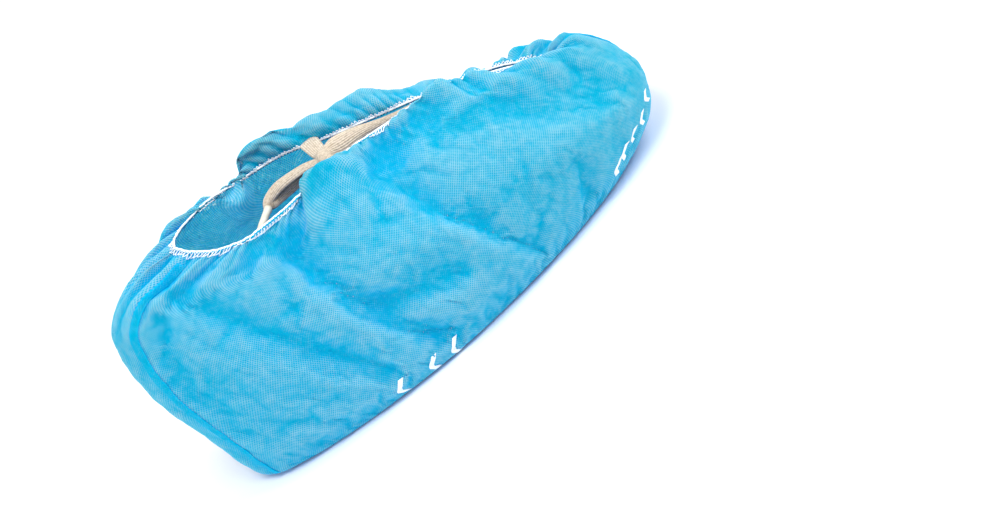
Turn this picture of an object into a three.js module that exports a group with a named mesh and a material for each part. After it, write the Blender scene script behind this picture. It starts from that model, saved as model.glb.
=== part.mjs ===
// A disposable shoe cover of blue non-woven cloth, standing open on its sole as if just taken off a shoe.
// One cloth bag is gathered along its opening by an elastic hem. A flat cotton tape is knotted across the
// opening, a seam closes each end of the bag, and rows of white chevrons under the sole grip the floor.
// Millimetres, +Z up, +X towards the toe, origin on the floor under the middle of the cover.
import * as THREE from "three";
import { mergeVertices } from "three/addons/utils/BufferGeometryUtils.js";

// Driving sizes
const coverLength = 358;
const coverWidth = 124;
const openingHeight = 156; // floor to the back of the opening
const openingWidth = 64;
const clothThickness = 1.2;
const clearance = 0.3; // left between pieces that touch
const seatGap = 0.75; // left where a flat tape end meets the bent cloth

// Elastic hem and end seams
const hemHeight = 2.4;
const hemThickness = 2;
const seamThickness = 0.8;

// Cotton tape
const tapeWidth = 12;
const tapeThickness = 1.6;
const tipDiameter = 5;

// Grip under the sole
const treadThickness = 0.4;
const treadWidth = 13; // across one row of chevrons
const treadPitch = 13;
const treadStroke = 4.2;
const treadSweep = 5.5; // how far a chevron's arms run forward of its point
const treadRib = 1.2; // joins the chevrons of a row
const treadSpacing = 17;

// Relief of the cloth
const gatherCount = 25;
const gatherDepth = 2.6;
const foldDepth = 6;
const foldWidth = 11;
const heelNarrowing = 0.24; // how much slimmer the cover is at the heel than in the middle
const soleFade = 26; // height in which the folds run out above the sole

// The cloth is a grid. Its columns go round it from the middle of the heel, its rows from the hem down.
const columns = 96;

// Sections of the bag, from the opening down and in under the sole. heel and toe are the section's two ends
// as shares of the length. width is a share of the width, and flare is how much it widens towards the toe.
// back and front are heights as shares of the opening's height. follow is how far the section repeats the
// opening's own outline and fall. steps is the number of grid rows down to the next section.
const sections = {
  hem: { heel: 0.16, toe: 0.885, width: 0.52, flare: 0.2, back: 1.0, front: 0.506, follow: 1, steps: 1 },
  lip: { heel: 0.158, toe: 0.886, width: 0.52, flare: 0.2, back: 0.98, front: 0.488, follow: 1, steps: 1 },
  gather: { heel: 0.13, toe: 0.903, width: 0.82, flare: 0.2, back: 0.99, front: 0.52, follow: 0.8, steps: 2 },
  crest: { heel: 0.08, toe: 0.935, width: 0.8, flare: 0.2, back: 0.97, front: 0.53, follow: 0.5, steps: 3 },
  bulge: { heel: 0.015, toe: 0.97, width: 0.9, flare: 0.2, back: 0.85, front: 0.42, follow: 0.25, steps: 3 },
  belly: { heel: 0.0, toe: 1.0, width: 1.0, flare: 0.2, back: 0.6, front: 0.27, follow: 0, steps: 3 },
  skirt: { heel: 0.022, toe: 0.99, width: 1.0, flare: 0.05, back: 0.28, front: 0.15, follow: 0, steps: 2 },
  turn: { heel: 0.042, toe: 0.94, width: 0.93, flare: 0, back: 0.045, front: 0.05, follow: 0, steps: 1 },
  edge: { heel: 0.07, toe: 0.9, width: 0.84, flare: -0.02, back: 0, front: 0, follow: 0, steps: 2 },
  spine: { heel: 0.2, toe: 0.78, width: 0, flare: 0, back: 0, front: 0, follow: 0, steps: 0 },
};

// The opening along its length from back to front: its half width as a share of openingWidth / 2, and the
// share of its fall that is still to come on the near and on the far side
const openingOutline = [
  { along: 0.0, half: 0.0, near: 0.95, far: 0.95 },
  { along: 0.02, half: 0.5, near: 0.9, far: 0.94 },
  { along: 0.08, half: 0.84, near: 0.8, far: 0.92 },
  { along: 0.15, half: 0.96, near: 0.76, far: 0.885 },
  { along: 0.25, half: 1.0, near: 0.765, far: 0.8 },
  { along: 0.35, half: 0.88, near: 0.765, far: 0.755 },
  { along: 0.45, half: 0.62, near: 0.7, far: 0.665 },
  { along: 0.57, half: 0.34, near: 0.59, far: 0.57 },
  { along: 0.68, half: 0.18, near: 0.505, far: 0.47 },
  { along: 0.85, half: 0.11, near: 0.27, far: 0.27 },
  { along: 0.95, half: 0.1, near: 0.09, far: 0.09 },
  { along: 1.0, half: 0.0, near: 0.0, far: 0.0 },
];

// How far the blousing cloth beside the opening stands above or below its even height, on the near and the
// far side, along the length of the cover, as shares of the opening's height
const blousing = [
  { along: 0.0, near: 0.0, far: 0.0 },
  { along: 0.12, near: -0.02, far: 0.0 },
  { along: 0.2, near: -0.07, far: 0.05 },
  { along: 0.27, near: -0.1, far: 0.07 },
  { along: 0.315, near: -0.1, far: -0.01 },
  { along: 0.36, near: -0.06, far: 0.1 },
  { along: 0.39, near: 0.04, far: 0.115 },
  { along: 0.415, near: 0.14, far: 0.125 },
  { along: 0.44, near: 0.16, far: 0.13 },
  { along: 0.475, near: 0.1, far: 0.08 },
  { along: 0.53, near: -0.05, far: 0.1 },
  { along: 0.59, near: -0.04, far: 0.1 },
  { along: 0.66, near: 0.0, far: 0.01 },
  { along: 0.75, near: 0.02, far: -0.06 },
  { along: 0.82, near: 0.02, far: -0.12 },
  { along: 0.87, near: 0.0, far: 0.01 },
  { along: 0.93, near: 0.0, far: -0.01 },
  { along: 1.0, near: 0.0, far: 0.0 },
];
// The blousing and the gathers are fullest at these section numbers, and fade within the reach
const blousingLevel = 2.9;
const blousingReach = 0.9;
const gatherLevel = 2.3;
const gatherReach = 1.1;

// Folds of the two sides, seen from the side: three points of the crease as shares of the length and of the
// opening's height, then its depth and width as shares of foldDepth and foldWidth. A ridge is negative.
const folds = [
  { side: "near", a0: 0.315, h0: 0.79, a1: 0.34, h1: 0.5, a2: 0.41, h2: 0.12, depth: 1.0, width: 1.0 },
  { side: "near", a0: 0.29, h0: 0.76, a1: 0.308, h1: 0.5, a2: 0.39, h2: 0.12, depth: -0.4, width: 0.7 },
  { side: "near", a0: 0.37, h0: 0.4, a1: 0.43, h1: 0.35, a2: 0.5, h2: 0.3, depth: 0.6, width: 0.7 },
  { side: "near", a0: 0.39, h0: 0.27, a1: 0.45, h1: 0.24, a2: 0.51, h2: 0.21, depth: -0.3, width: 0.9 },
  { side: "near", a0: 0.13, h0: 0.9, a1: 0.2, h1: 0.6, a2: 0.305, h2: 0.16, depth: 0.6, width: 0.8 },
  { side: "near", a0: 0.08, h0: 0.86, a1: 0.045, h1: 0.62, a2: 0.07, h2: 0.3, depth: 0.5, width: 0.7 },
  { side: "near", a0: 0.29, h0: 0.78, a1: 0.27, h1: 0.7, a2: 0.25, h2: 0.6, depth: 0.45, width: 0.6 },
  { side: "near", a0: 0.57, h0: 0.76, a1: 0.72, h1: 0.65, a2: 0.88, h2: 0.4, depth: 0.95, width: 1.0 },
  { side: "near", a0: 0.6, h0: 0.6, a1: 0.7, h1: 0.5, a2: 0.8, h2: 0.42, depth: -0.3, width: 1.2 },
  { side: "near", a0: 0.89, h0: 0.48, a1: 0.93, h1: 0.38, a2: 0.955, h2: 0.28, depth: 0.45, width: 0.9 },
  { side: "near", a0: 0.52, h0: 0.74, a1: 0.56, h1: 0.55, a2: 0.58, h2: 0.4, depth: 0.4, width: 0.9 },
  { side: "far", a0: 0.33, h0: 0.85, a1: 0.31, h1: 0.6, a2: 0.27, h2: 0.25, depth: 0.9, width: 1.0 },
  { side: "far", a0: 0.5, h0: 0.8, a1: 0.5, h1: 0.5, a2: 0.44, h2: 0.2, depth: 0.8, width: 1.1 },
  { side: "far", a0: 0.66, h0: 0.66, a1: 0.73, h1: 0.5, a2: 0.86, h2: 0.3, depth: 0.8, width: 1.0 },
  { side: "far", a0: 0.16, h0: 0.9, a1: 0.11, h1: 0.6, a2: 0.13, h2: 0.3, depth: 0.5, width: 0.9 },
];

// The knot, as shares of coverLength, coverWidth / 2 and openingHeight
const knot = { along: 0.463, across: 0.02, up: 0.851 };
const knotSize = { long: 15, wide: 12, high: 9 };

// Stations of the tape's strands from the knot on, placed by the same shares. wide and thick are shares of
// the tape's own size, and lean turns the flat of the tape about its run in degrees.
const farStrand = [{ along: 0.465, across: 0.2, up: 0.862, lean: 0, wide: 0.9, thick: 1 }];
const nearStrand = [{ along: 0.463, across: -0.18, up: 0.858, lean: 0, wide: 0.9, thick: 1 }];
const frontStrand = [
  { along: 0.505, across: 0.02, up: 0.826, lean: 20, wide: 0.8, thick: 1.6 },
  { along: 0.547, across: 0.0, up: 0.806, lean: 35, wide: 0.66, thick: 2 },
  { along: 0.584, across: 0.0, up: 0.784, lean: 50, wide: 0.5, thick: 2 },
  { along: 0.62, across: 0.0, up: 0.766, lean: 65, wide: 0.45, thick: 2 },
];
const rearStrand = [
  { along: 0.412, across: 0.15, up: 0.856, lean: -20, wide: 1, thick: 1 },
  { along: 0.378, across: 0.19, up: 0.856, lean: -40, wide: 1, thick: 1 },
  { along: 0.352, across: 0.14, up: 0.843, lean: -50, wide: 0.8, thick: 1.2 },
  { along: 0.34, across: 0.08, up: 0.828, lean: -50, wide: 0.5, thick: 2 },
];
const knotEnd = { lean: 0, wide: 0.6, thick: 1.4 };
const seatedEnd = { lean: 0, wide: 0.75, thick: 1 };
const frontEnd = { along: 0.67, lean: 85, wide: 0.45, thick: 2 };
const tipEnd = { along: 0.27, across: -0.26, up: 0.8 };
const tipSides = 12;

// Interpolates a column of a table smoothly and without overshoot; keys are the table's own parameter
function smoothColumn(table, keys, column, at) {
  const last = table.length - 1;
  const following = keys.findIndex((key) => key > at);
  const cell = following < 0 ? last - 1 : Math.max(following - 1, 0);
  const slope = (i) => (table[i + 1][column] - table[i][column]) / (keys[i + 1] - keys[i]);
  const tangent = (i) => {
    if (i === 0) return slope(0);
    if (i === last) return slope(last - 1);
    const before = slope(i - 1);
    const after = slope(i);
    return before * after <= 0 ? 0 : (2 * before * after) / (before + after);
  };
  const span = keys[cell + 1] - keys[cell];
  const s = (at - keys[cell]) / span;
  const startPart = (1 + 2 * s) * (1 - s) ** 2 * table[cell][column];
  const startTangent = s * (1 - s) ** 2 * span * tangent(cell);
  const endPart = s * s * (3 - 2 * s) * table[cell + 1][column];
  const endTangent = s * s * (s - 1) * span * tangent(cell + 1);
  return startPart + startTangent + endPart + endTangent;
}

const soleHeight = treadThickness + clearance;
const sectionNames = Object.keys(sections);
const sectionRows = Object.values(sections);
const sectionKeys = sectionRows.map((_, i) => i);
const openingKeys = openingOutline.map((row) => row.along);
const blousingKeys = blousing.map((row) => row.along);
const bump = (at, middle, reach) => Math.exp(-(((at - middle) / reach) ** 2));

// A point of the smooth bag: angle runs round from the heel by the near side, level is a section number
function bagPoint(angle, level) {
  const section = (column) => smoothColumn(sectionRows, sectionKeys, column, level);
  const turned = Math.abs(Math.sin(angle));
  const along = (1 - Math.cos(angle)) / 2;
  const side = Math.sin(angle) > 0 ? "near" : "far";
  const towardsHeel = Math.max(0, 1 - 2 * along) ** 1.5;
  const towardsToe = Math.max(0, 2 * along - 1) ** 1.5;
  const footWidth = turned ** 0.8 * (1 - heelNarrowing * towardsHeel + section("flare") * towardsToe);
  const slitWidth = smoothColumn(openingOutline, openingKeys, "half", along) * (openingWidth / coverWidth);
  const follow = section("follow");
  const half = (coverWidth / 2) * ((1 - follow) * section("width") * footWidth + follow * slitWidth);
  const heel = section("heel");
  const share = heel + (section("toe") - heel) * along;
  const drop = smoothColumn(openingOutline, openingKeys, side, along);
  const fall = (1 - follow) * (1 - along) + follow * drop;
  const lift = smoothColumn(blousing, blousingKeys, side, share) * bump(level, blousingLevel, blousingReach);
  const height = section("front") + (section("back") - section("front")) * fall + lift * turned;
  const across = turned < 1e-9 ? 0 : side === "near" ? -half : half;
  return new THREE.Vector3(coverLength * (share - 0.5), across, soleHeight + openingHeight * height);
}

// Distance in the side view from a point to a crease
function creaseDistance(fold, point) {
  const flat = (along, height) => new THREE.Vector2((along - 0.5) * coverLength, height * openingHeight);
  const at = new THREE.Vector2(point.x, point.z);
  const bends = [flat(fold.a0, fold.h0), flat(fold.a1, fold.h1), flat(fold.a2, fold.h2)];
  const distances = [0, 1].map((i) => {
    const run = bends[i + 1].clone().sub(bends[i]);
    const share = THREE.MathUtils.clamp(at.clone().sub(bends[i]).dot(run) / run.lengthSq(), 0, 1);
    return at.distanceTo(bends[i].clone().addScaledVector(run, share));
  });
  return Math.min(...distances);
}

// How far the gathers and folds move the cloth outward
function relief(angle, level, point) {
  const side = Math.sin(angle) > 0 ? "near" : "far";
  const wave = Math.cos(gatherCount * angle + 0.9 * Math.sin(3 * angle) + 0.6 * Math.sin(5 * angle));
  const gathers = gatherDepth * wave * bump(level, gatherLevel, gatherReach);
  const creases = folds
    .filter((fold) => fold.side === side)
    .map((fold) => -foldDepth * fold.depth * bump(creaseDistance(fold, point), 0, foldWidth * fold.width));
  const aboveSole = THREE.MathUtils.smoothstep(point.z, soleHeight, soleFade);
  const belowHem = THREE.MathUtils.smoothstep(level, 0, 2);
  return gathers + aboveSole * belowHem * creases.reduce((sum, crease) => sum + crease, 0);
}

const levels = sectionRows.flatMap((section, i) => {
  return Array.from({ length: section.steps }, (_, k) => i + k / section.steps);
});
levels.push(sectionRows.length - 1);
const rowOf = (name) => levels.indexOf(sectionNames.indexOf(name));
const angles = Array.from({ length: columns }, (_, j) => (2 * Math.PI * j) / columns);

// Outward normals of a grid that closes round on itself
function gridNormals(grid) {
  return grid.map((row, i) =>
    row.map((_, j) => {
      if (i === grid.length - 1) return new THREE.Vector3(0, 0, -1);
      const round = row[(j + 1) % columns].clone().sub(row[(j + columns - 1) % columns]);
      const down = grid[i + 1][j].clone().sub(grid[Math.max(i - 1, 0)][j]);
      return down.cross(round).normalize();
    }),
  );
}

const shifted = (grid, normals, shift) => {
  return grid.map((row, i) => row.map((p, j) => p.clone().addScaledVector(normals[i][j], shift(i, j))));
};

const smoothGrid = levels.map((level) => angles.map((angle) => bagPoint(angle, level)));
const smoothNormals = gridNormals(smoothGrid);
const smoothRelief = (i, j) => relief(angles[j], levels[i], smoothGrid[i][j]);
const outerGrid = shifted(smoothGrid, smoothNormals, smoothRelief);
const outerNormals = gridNormals(outerGrid);
const innerGrid = shifted(outerGrid, outerNormals, () => -clothThickness);

// Merges the corners that faces share, so that a shape becomes one closed body
function closedBody(shape) {
  shape.deleteAttribute("uv");
  shape.deleteAttribute("normal");
  const geometry = mergeVertices(shape, 1e-4);
  geometry.computeVertexNormals();
  return geometry;
}

function bodyOf(quads) {
  const corners = quads.flatMap(([a, b, c, d]) => [a, b, c, a, c, d]);
  return closedBody(new THREE.BufferGeometry().setFromPoints(corners));
}

// The two skins of the cloth and the narrow face along its edge
function clothQuads(outer, inner) {
  const quads = [];
  for (let j = 0; j < columns; j++) {
    const k = (j + 1) % columns;
    quads.push([inner[0][j], outer[0][j], outer[0][k], inner[0][k]]);
    for (let i = 0; i < outer.length - 1; i++) {
      quads.push([outer[i][j], outer[i + 1][j], outer[i + 1][k], outer[i][k]]);
      quads.push([inner[i][k], inner[i + 1][k], inner[i + 1][j], inner[i][j]]);
    }
  }
  return quads;
}

// A solid with the same number of corners in each ring, closed at its ends or back to its first ring
function ringQuads(rings, closed) {
  const quads = [];
  const sides = rings[0].length;
  const last = closed ? rings.length : rings.length - 1;
  for (let i = 0; i < last; i++) {
    const next = rings[(i + 1) % rings.length];
    for (let s = 0; s < sides; s++) {
      const t = (s + 1) % sides;
      quads.push([rings[i][s], rings[i][t], next[t], next[s]]);
    }
  }
  if (!closed) {
    quads.push([...rings[0]].reverse());
    quads.push(rings[rings.length - 1]);
  }
  return quads;
}

const cover = new THREE.Group();
const clothBlue = new THREE.MeshStandardMaterial({ color: 0x3cbcec, roughness: 0.85, metalness: 0 });
const hemWhite = new THREE.MeshStandardMaterial({ color: 0xe1f8ff, roughness: 0.8, metalness: 0 });
const tapeCotton = new THREE.MeshStandardMaterial({ color: 0xe7d9c6, roughness: 0.9, metalness: 0 });
const tipPlastic = new THREE.MeshStandardMaterial({ color: 0xd6d5c4, roughness: 0.4, metalness: 0 });
const treadWhite = new THREE.MeshStandardMaterial({ color: 0xedf9ff, roughness: 0.6, metalness: 0 });

function addPiece(name, geometry, material) {
  const mesh = new THREE.Mesh(geometry, material);
  mesh.name = name;
  cover.add(mesh);
}

addPiece("cloth_bag", bodyOf(clothQuads(outerGrid, innerGrid)), clothBlue);

// The hem is a small five sided cord that stands on the cloth's edge
const hemRings = angles.map((_, j) => {
  const edge = outerGrid[0][j].clone().lerp(innerGrid[0][j], 0.5);
  const round = outerGrid[0][(j + 1) % columns].clone().sub(outerGrid[0][(j + columns - 1) % columns]);
  round.normalize();
  const rise = new THREE.Vector3(0, 0, 1).addScaledVector(round, -round.z).normalize();
  const across = round.clone().cross(rise);
  const corner = (wide, high) => {
    const point = edge.clone().addScaledVector(rise, clearance + high * hemHeight);
    return point.addScaledVector(across, (wide * hemThickness) / 2);
  };
  return [corner(0, 0), corner(-1, 0.45), corner(-0.65, 1), corner(0.65, 1), corner(1, 0.45)];
});
addPiece("hem_elastic", bodyOf(ringQuads(hemRings, true)), hemWhite);

// A seam lies on the cloth from the gathers down to the turn of the sole, between two columns of the grid
function seamStrip(name, leftColumn, rightColumn, reach) {
  const rings = outerGrid.slice(rowOf("gather"), rowOf("turn") + 1).map((row, i) => {
    const normals = outerNormals[rowOf("gather") + i];
    const at = (column, height) => row[column].clone().addScaledVector(normals[column], height);
    const middle = (height) => at(leftColumn, height).lerp(at(rightColumn, height), 0.5);
    const corner = (column, height) => middle(height).lerp(at(column, height), reach);
    const under = [corner(leftColumn, clearance), corner(rightColumn, clearance)];
    const top = clearance + seamThickness;
    return [...under, corner(rightColumn, top), corner(leftColumn, top)];
  });
  addPiece(name, bodyOf(ringQuads(rings, false)), clothBlue);
}
seamStrip("heel_seam", 4, 5, 1);
seamStrip("toe_seam", columns / 2, columns / 2 + 1, 0.5);

const place = ({ along, across, up }) => {
  return new THREE.Vector3((along - 0.5) * coverLength, (across * coverWidth) / 2, up * openingHeight);
};
const knotMiddle = place(knot);

// The point clear of the knot's surface from which a strand runs on towards its first station
function leavingKnot(station) {
  const way = place(station).sub(knotMiddle).normalize();
  const { long, wide, high } = knotSize;
  const depth = Math.hypot((2 * way.x) / long, (2 * way.y) / wide, (2 * way.z) / high);
  return knotMiddle.clone().addScaledVector(way, 1 / depth + clearance);
}

// The inner face of the cloth under the hem, at a place along one side: a point, the hem's run and the way in
function wallAt(side, along) {
  const x = (along - 0.5) * coverLength;
  const row = innerGrid[rowOf("lip")].map((p, j) => p.clone().lerp(innerGrid[rowOf("hem")][j], 0.5));
  const start = side === "near" ? 0 : columns / 2;
  const next = (j) => row[(j + 1) % columns];
  const j = row.findIndex((p, k) => k >= start && (p.x - x) * (next(k).x - x) <= 0);
  const run = next(j).clone().sub(row[j]);
  const point = row[j].clone().addScaledVector(run, (x - row[j].x) / run.x);
  run.normalize();
  return { point, run, inward: new THREE.Vector3(-run.y, run.x, 0).normalize() };
}

// A strand of the tape: a flat bar through its stations. It starts at the knot, and where it is seated on the
// cloth its last face lies along the hem.
function strand(name, stations, ending) {
  const points = [leavingKnot(stations[0]), ...stations.map(place), ...ending.points];
  const shapes = [knotEnd, ...stations, ...ending.shapes];
  const rings = shapes.map((shape, i) => {
    const before = points[Math.max(i - 1, 0)];
    const after = points[Math.min(i + 1, points.length - 1)];
    const run = after.clone().sub(before).normalize();
    const across = new THREE.Vector3(0, 0, 1).cross(run).normalize();
    across.applyAxisAngle(run, THREE.MathUtils.degToRad(shape.lean));
    const through = run.clone().cross(across);
    if (ending.hemRun && i === shapes.length - 1) across.copy(ending.hemRun);
    across.multiplyScalar((tapeWidth * shape.wide) / 2);
    through.multiplyScalar((tapeThickness * shape.thick) / 2);
    return [[-1, -1], [1, -1], [1, 1], [-1, 1]].map(([a, t]) => {
      return points[i].clone().addScaledVector(across, a).addScaledVector(through, t);
    });
  });
  addPiece(name, bodyOf(ringQuads(rings, false)), tapeCotton);
}

// The two standing ends of the tape meet the cloth under the hem
for (const [name, stations, side] of [["tape_far", farStrand, "far"], ["tape_near", nearStrand, "near"]]) {
  const wall = wallAt(side, stations[0].along);
  const seat = wall.point.clone().addScaledVector(wall.inward, seatGap);
  strand(name, stations, { points: [seat], shapes: [seatedEnd], hemRun: wall.run });
}

// The front tail ends against the near side of the closed slit
const slit = wallAt("near", frontEnd.along);
const slitSeat = slit.point.clone();
slitSeat.addScaledVector(slit.inward, seatGap + (tapeThickness * frontEnd.thick) / 2);
strand("tape_front_tail", frontStrand, { points: [slitSeat], shapes: [frontEnd] });

// The rear tail runs into its tube tip
const tipFoot = place(tipEnd);
strand("tape_rear_tail", rearStrand, { points: [tipFoot], shapes: [] });

const knotShape = new THREE.SphereGeometry(0.5, 12, 8);
knotShape.scale(knotSize.long, knotSize.wide, knotSize.high);
knotShape.translate(...knotMiddle.toArray());
addPiece("tape_knot", closedBody(knotShape), tapeCotton);

const tailEnd = place(rearStrand[rearStrand.length - 1]);
const tipRun = tailEnd.clone().sub(tipFoot).normalize();
const tipTop = tailEnd.clone().addScaledVector(tipRun, -clearance);
const tipLength = tipTop.distanceTo(tipFoot);
const tipShape = new THREE.CylinderGeometry(tipDiameter / 2, tipDiameter / 2, tipLength, tipSides);
tipShape.applyQuaternion(new THREE.Quaternion().setFromUnitVectors(new THREE.Vector3(0, 1, 0), tipRun));
tipShape.translate(...tipTop.clone().lerp(tipFoot, 0.5).toArray());
addPiece("tape_tip", closedBody(tipShape), tipPlastic);

// A row of chevrons that point to the heel, joined along the middle by a thin rib
const treadRows = [
  { name: "tread_row_1", row: -2, start: -0.215, chevrons: 13 },
  { name: "tread_row_2", row: -1, start: -0.35, chevrons: 19 },
  { name: "tread_row_3", row: 0, start: -0.4, chevrons: 22 },
  { name: "tread_row_4", row: 1, start: -0.35, chevrons: 19 },
  { name: "tread_row_5", row: 2, start: -0.215, chevrons: 13 },
];

function treadRow({ name, row, start, chevrons }) {
  const root = treadRib / 2;
  const end = treadWidth / 2;
  const rootShift = (treadSweep * root) / end;
  const side = (sign) =>
    Array.from({ length: chevrons }, (_, k) => {
      const point = start * coverLength + k * treadPitch;
      const back = [[point + rootShift, sign * root], [point + treadSweep, sign * end]];
      return [...back, ...back.toReversed().map(([x, y]) => [x + treadStroke, y])];
    }).flat();
  const outline = [[start * coverLength, 0], ...side(-1), ...side(1).reverse()];
  const shape = new THREE.Shape(outline.map(([x, y]) => new THREE.Vector2(x, y + row * treadSpacing)));
  const solid = new THREE.ExtrudeGeometry(shape, { depth: treadThickness, bevelEnabled: false });
  addPiece(name, closedBody(solid), treadWhite);
}
treadRows.forEach(treadRow);

export default cover;
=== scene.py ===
import math

import bmesh
import bpy
import numpy as np
from mathutils import Matrix, Vector, noise


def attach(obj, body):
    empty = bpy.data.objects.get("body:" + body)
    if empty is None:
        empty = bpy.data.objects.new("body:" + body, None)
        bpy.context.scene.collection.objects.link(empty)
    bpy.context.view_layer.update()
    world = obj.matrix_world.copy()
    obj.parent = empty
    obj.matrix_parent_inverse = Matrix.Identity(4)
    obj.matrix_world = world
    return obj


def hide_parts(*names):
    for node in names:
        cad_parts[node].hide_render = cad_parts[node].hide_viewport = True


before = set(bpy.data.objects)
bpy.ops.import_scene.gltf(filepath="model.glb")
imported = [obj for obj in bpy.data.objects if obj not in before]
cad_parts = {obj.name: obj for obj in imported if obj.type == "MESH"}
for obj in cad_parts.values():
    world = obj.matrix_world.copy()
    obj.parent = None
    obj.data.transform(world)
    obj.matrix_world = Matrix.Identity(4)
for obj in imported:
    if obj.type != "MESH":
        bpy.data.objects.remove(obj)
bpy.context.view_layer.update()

# Camera. It looks at the near side of the cover from above, tilted so that the heel hangs low and the toe
# points up to the right, with a long lens.
camera_azimuth = math.radians(12)
camera_elevation = math.radians(30)
camera_roll = math.radians(37)
camera_distance = 1.4
camera_lens = 82.15
aim_point = Vector((-0.165, 0, 0))
aim_right = -0.1043
aim_up = -0.0951

back = Vector((
    -math.sin(camera_azimuth) * math.cos(camera_elevation),
    -math.cos(camera_azimuth) * math.cos(camera_elevation),
    math.sin(camera_elevation),
))
level_right = Vector((math.cos(camera_azimuth), -math.sin(camera_azimuth), 0))
level_up = back.cross(level_right)
camera_right = math.cos(camera_roll) * level_right - math.sin(camera_roll) * level_up
camera_up = math.sin(camera_roll) * level_right + math.cos(camera_roll) * level_up
camera_data = bpy.data.cameras.new("camera")
camera_data.lens = camera_lens
camera_data.sensor_width = 36
camera = bpy.data.objects.new("camera", camera_data)
bpy.context.scene.collection.objects.link(camera)
turn = Matrix((camera_right, camera_up, back)).transposed().to_4x4()
to_aim = -back + aim_right * camera_right + aim_up * camera_up
camera.matrix_world = Matrix.Translation(aim_point - to_aim * camera_distance) @ turn
bpy.context.scene.camera = camera


# Cloth bag. One piece of dot-embossed spunbond non-woven, folded and sewn at heel and toe, and drawn
# together round the opening so that it stands open and blouses over the sides.
cover_length = 0.358
cover_width = 0.124
opening_height = 0.156
opening_width = 0.064
sole_height = 0.0007
cloth_thickness = 0.0005
gather_count = 25
gather_depth = 0.0026
fold_depth = 0.006
fold_width = 0.011
crease_radius = 0.0018
heel_narrowing = 0.24
sole_fade = 0.026
grid_step = 0.0024
cloth_columns = 400

# Sections from the hem down. Their ends, width and heights are shares of the cover's length and width and of
# the opening's height. Flare widens them towards the toe. Follow is how closely they keep to the opening.
sections = [
    dict(name="hem", heel=0.178, toe=0.885, width=0.52, flare=0.2, back=1.0, front=0.506, follow=1),
    dict(name="lip", heel=0.172, toe=0.887, width=0.55, flare=0.2, back=0.995, front=0.502, follow=0.97),
    dict(name="gather", heel=0.137, toe=0.903, width=0.82, flare=0.2, back=0.99, front=0.52, follow=0.8),
    dict(name="crest", heel=0.08, toe=0.935, width=0.8, flare=0.2, back=0.97, front=0.53, follow=0.5),
    dict(name="bulge", heel=0.015, toe=0.97, width=0.9, flare=0.2, back=0.85, front=0.42, follow=0.25),
    dict(name="belly", heel=0.0, toe=1.0, width=1.0, flare=0.2, back=0.6, front=0.27, follow=0),
    dict(name="skirt", heel=0.022, toe=0.99, width=1.0, flare=0.05, back=0.28, front=0.15, follow=0),
    dict(name="turn", heel=0.042, toe=0.94, width=0.93, flare=0, back=0.045, front=0.05, follow=0),
    dict(name="edge", heel=0.07, toe=0.9, width=0.84, flare=-0.02, back=0, front=0, follow=0),
    dict(name="spine", heel=0.2, toe=0.78, width=0, flare=0, back=0, front=0, follow=0),
]
# The opening from back to front: its half width, and the share of its fall still to come on each side
opening_outline = [
    dict(along=0.0, half=0.0, near=0.95, far=0.95),
    dict(along=0.02, half=0.36, near=0.9, far=0.94),
    dict(along=0.08, half=0.68, near=0.8, far=0.92),
    dict(along=0.15, half=0.87, near=0.76, far=0.885),
    dict(along=0.25, half=1.0, near=0.765, far=0.8),
    dict(along=0.35, half=0.88, near=0.765, far=0.755),
    dict(along=0.45, half=0.62, near=0.7, far=0.665),
    dict(along=0.57, half=0.34, near=0.59, far=0.57),
    dict(along=0.68, half=0.18, near=0.505, far=0.47),
    dict(along=0.85, half=0.11, near=0.27, far=0.27),
    dict(along=0.95, half=0.1, near=0.09, far=0.09),
    dict(along=1.0, half=0.0, near=0.0, far=0.0),
]
# How far the blousing cloth stands above its even height, along the length of the cover
blousing = [
    dict(along=0.0, near=0.0, far=0.0),
    dict(along=0.12, near=-0.02, far=0.02),
    dict(along=0.2, near=-0.07, far=0.075),
    dict(along=0.27, near=-0.1, far=0.08),
    dict(along=0.315, near=-0.1, far=0.0),
    dict(along=0.36, near=-0.06, far=0.11),
    dict(along=0.39, near=0.02, far=0.15),
    dict(along=0.415, near=0.08, far=0.165),
    dict(along=0.44, near=0.11, far=0.17),
    dict(along=0.475, near=0.07, far=0.115),
    dict(along=0.53, near=-0.05, far=0.13),
    dict(along=0.59, near=-0.04, far=0.11),
    dict(along=0.66, near=0.0, far=0.05),
    dict(along=0.75, near=0.02, far=-0.04),
    dict(along=0.82, near=0.02, far=-0.12),
    dict(along=0.87, near=0.0, far=0.0),
    dict(along=0.93, near=-0.02, far=-0.07),
    dict(along=1.0, near=0.0, far=0.0),
]
# How far the gathered cloth puffs up right beside the hem, along the length of the cover
puffs = [
    dict(along=0.0, near=0.0, far=0.0),
    dict(along=0.2, near=0.0, far=0.02),
    dict(along=0.36, near=0.0, far=0.05),
    dict(along=0.4, near=0.045, far=0.06),
    dict(along=0.45, near=0.05, far=0.06),
    dict(along=0.5, near=0.025, far=0.06),
    dict(along=0.57, near=0.03, far=0.055),
    dict(along=0.63, near=0.046, far=0.045),
    dict(along=0.69, near=0.07, far=0.02),
    dict(along=0.75, near=0.065, far=0.02),
    dict(along=0.785, near=0.02, far=0.03),
    dict(along=0.84, near=0.0, far=0.04),
    dict(along=0.9, near=0.0, far=0.0),
    dict(along=1.0, near=0.0, far=0.0),
]
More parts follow.
